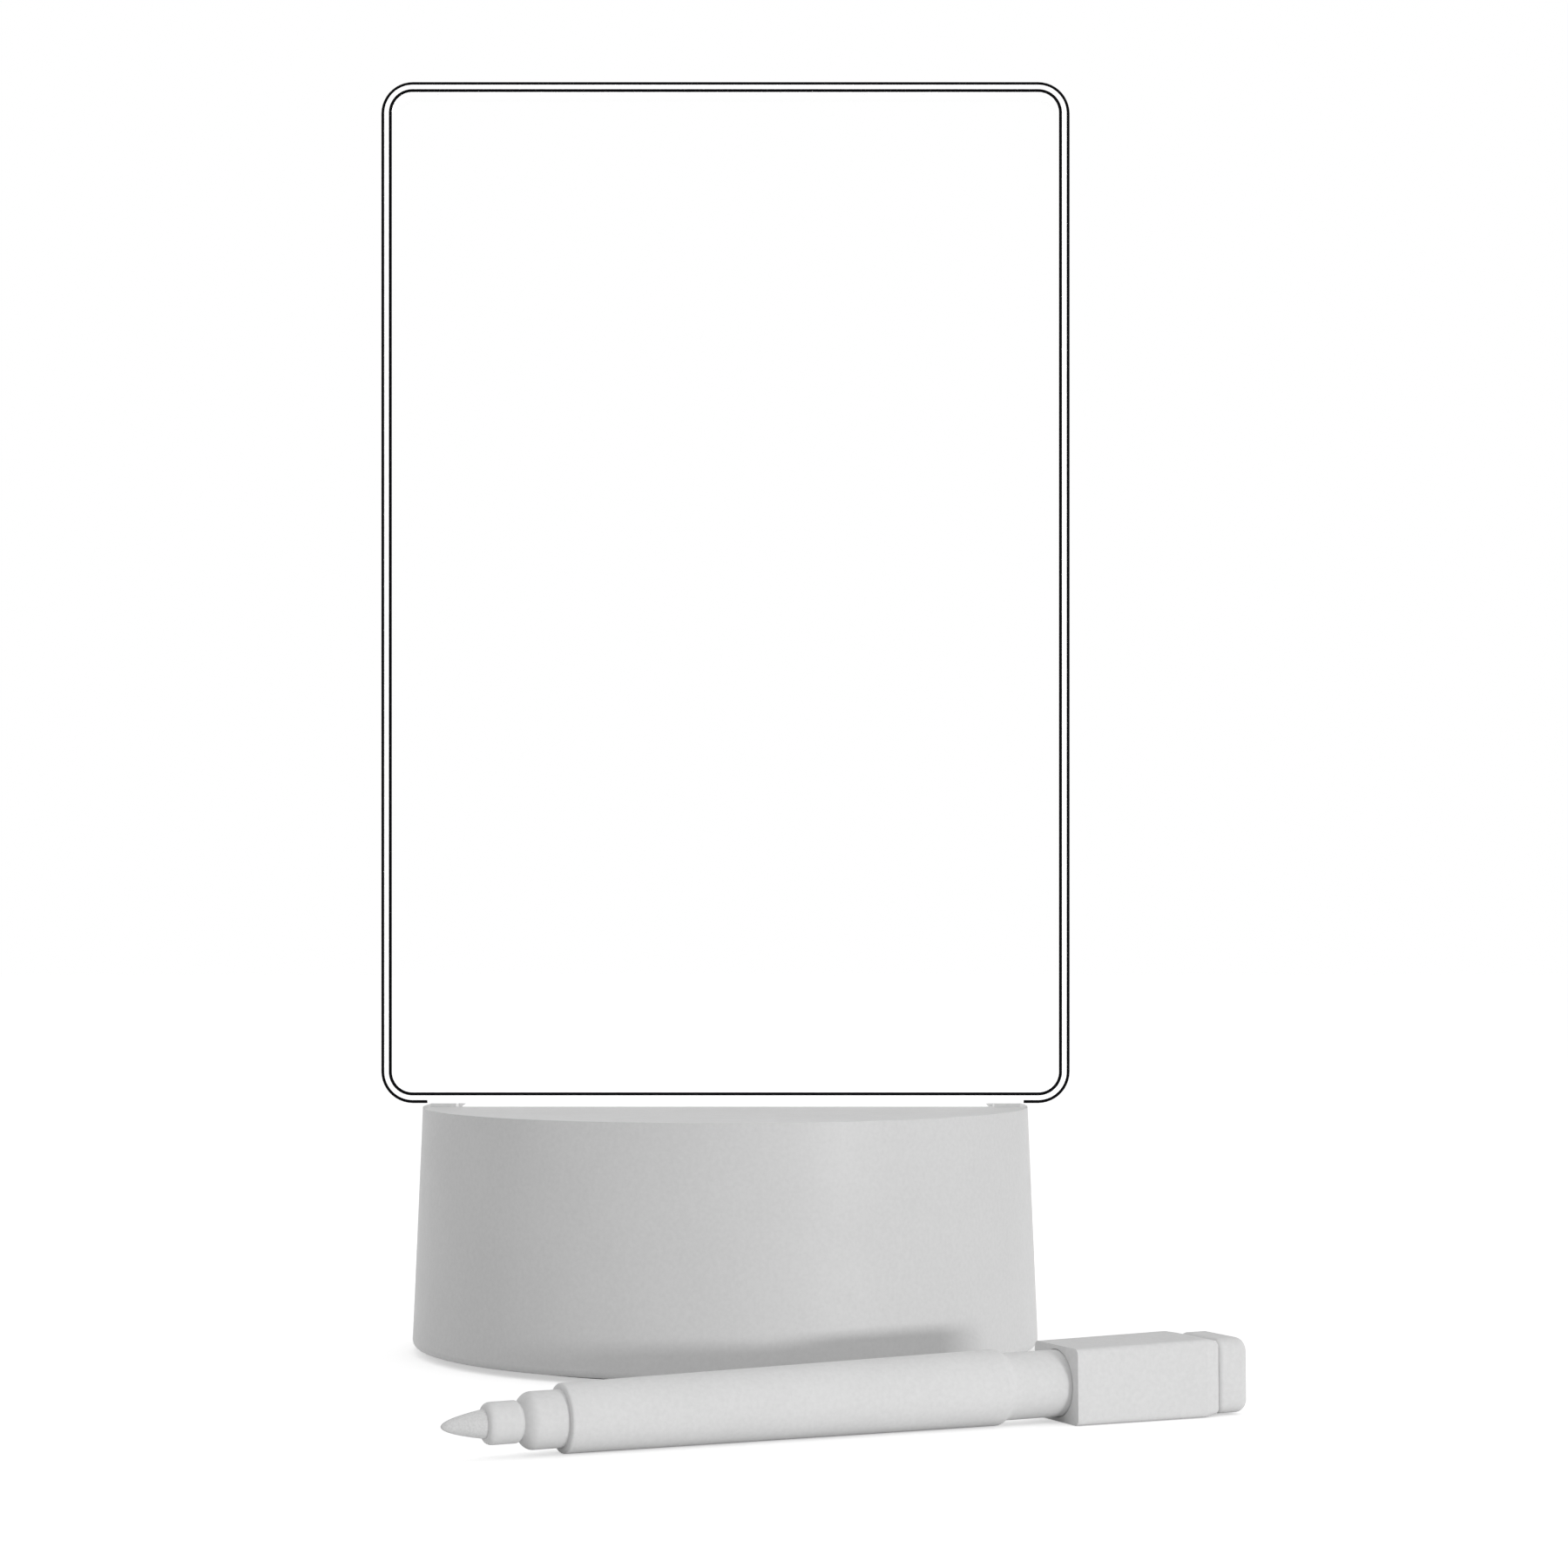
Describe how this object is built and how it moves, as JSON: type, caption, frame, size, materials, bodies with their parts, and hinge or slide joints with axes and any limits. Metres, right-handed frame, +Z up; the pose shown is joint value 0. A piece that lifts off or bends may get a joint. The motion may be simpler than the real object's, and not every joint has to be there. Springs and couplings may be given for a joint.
{
  "type": "led message board",
  "caption": "Clear upright writing panel in a slotted round light base, with a capless marker lying in front, its cap posted on its tail.",
  "frame": {"origin": "centre of the round base on the surface it stands on", "axes": "+Z up, -Y towards the reader, +X to the reader's right; the panel stands in the XZ plane"},
  "size_m": [0.1169, 0.156, 0.184],
  "materials": {
    "base_plastic": "satin white-grey moulding",
    "cover_plastic": "fine texture",
    "foot_rubber": "matt",
    "screw_steel": "zinc plated",
    "tray_plastic": "reflective white",
    "white_board": "white solder mask",
    "led_body": "white body with a phosphor window",
    "cell_wrap": "shrink wrap",
    "plated_metal": "nickel plated",
    "green_board": "solder mask",
    "connector_plastic": "moulded",
    "chip_black": "moulded",
    "switch_black": "moulded",
    "knob_plastic": "moulded",
    "lead_red": "insulation",
    "lead_black": "insulation",
    "clear_acrylic": "clear, polished",
    "nib_felt": "pressed felt",
    "marker_plastic": "satin",
    "cap_plastic": "satin",
    "reservoir_fibre": "fibre bundle"
  },
  "bodies": {
    "base": {"base_shell": "base_plastic", "bottom_cover": "cover_plastic", "foot_ring": "foot_rubber", "cover_screws": "screw_steel", "led_tray": "tray_plastic", "tray_screws": "screw_steel", "led_board": "white_board", "led_1": "led_body", "led_2": "led_body", "led_3": "led_body", "led_4": "led_body", "led_5": "led_body", "led_6": "led_body", "battery_cell": "cell_wrap", "cell_button": "plated_metal", "control_board": "green_board", "board_screws": "screw_steel", "battery_connector": "connector_plastic", "control_chip": "chip_black", "usb_socket_shell": "plated_metal", "usb_socket_tongue": "chip_black", "switch_body": "switch_black", "battery_lead_negative": "lead_black", "battery_lead_positive": "lead_red", "led_lead_supply": "lead_red", "led_lead_return": "lead_black"},
    "panel": {"message_panel": "clear_acrylic"},
    "switch": {"switch_knob": "knob_plastic"},
    "marker": {"marker_nib": "nib_felt", "marker_front": "marker_plastic", "marker_barrel": "marker_plastic", "marker_tail_plug": "marker_plastic", "ink_reservoir": "reservoir_fibre"},
    "cap": {"marker_cap": "cap_plastic", "marker_cap_end": "cap_plastic"}
  },
  "joints": [
    {"name": "panel_lift", "type": "slide", "parent": "base", "child": "panel", "axis": [0, 0, 1], "range_m": [0, 0.03]},
    {"name": "switch_slide", "type": "slide", "parent": "base", "child": "switch", "axis": [1, 0, 0], "range_m": [0, 0.002]},
    {"name": "marker_lift", "type": "slide", "parent": "base", "child": "marker", "axis": [0, 0, 1], "range_m": [0, 0.03]},
    {"name": "cap_pull", "type": "slide", "parent": "marker", "child": "cap", "axis": [0.9106, 0.4131, 0.0096], "range_m": [0, 0.03]}
  ]
}
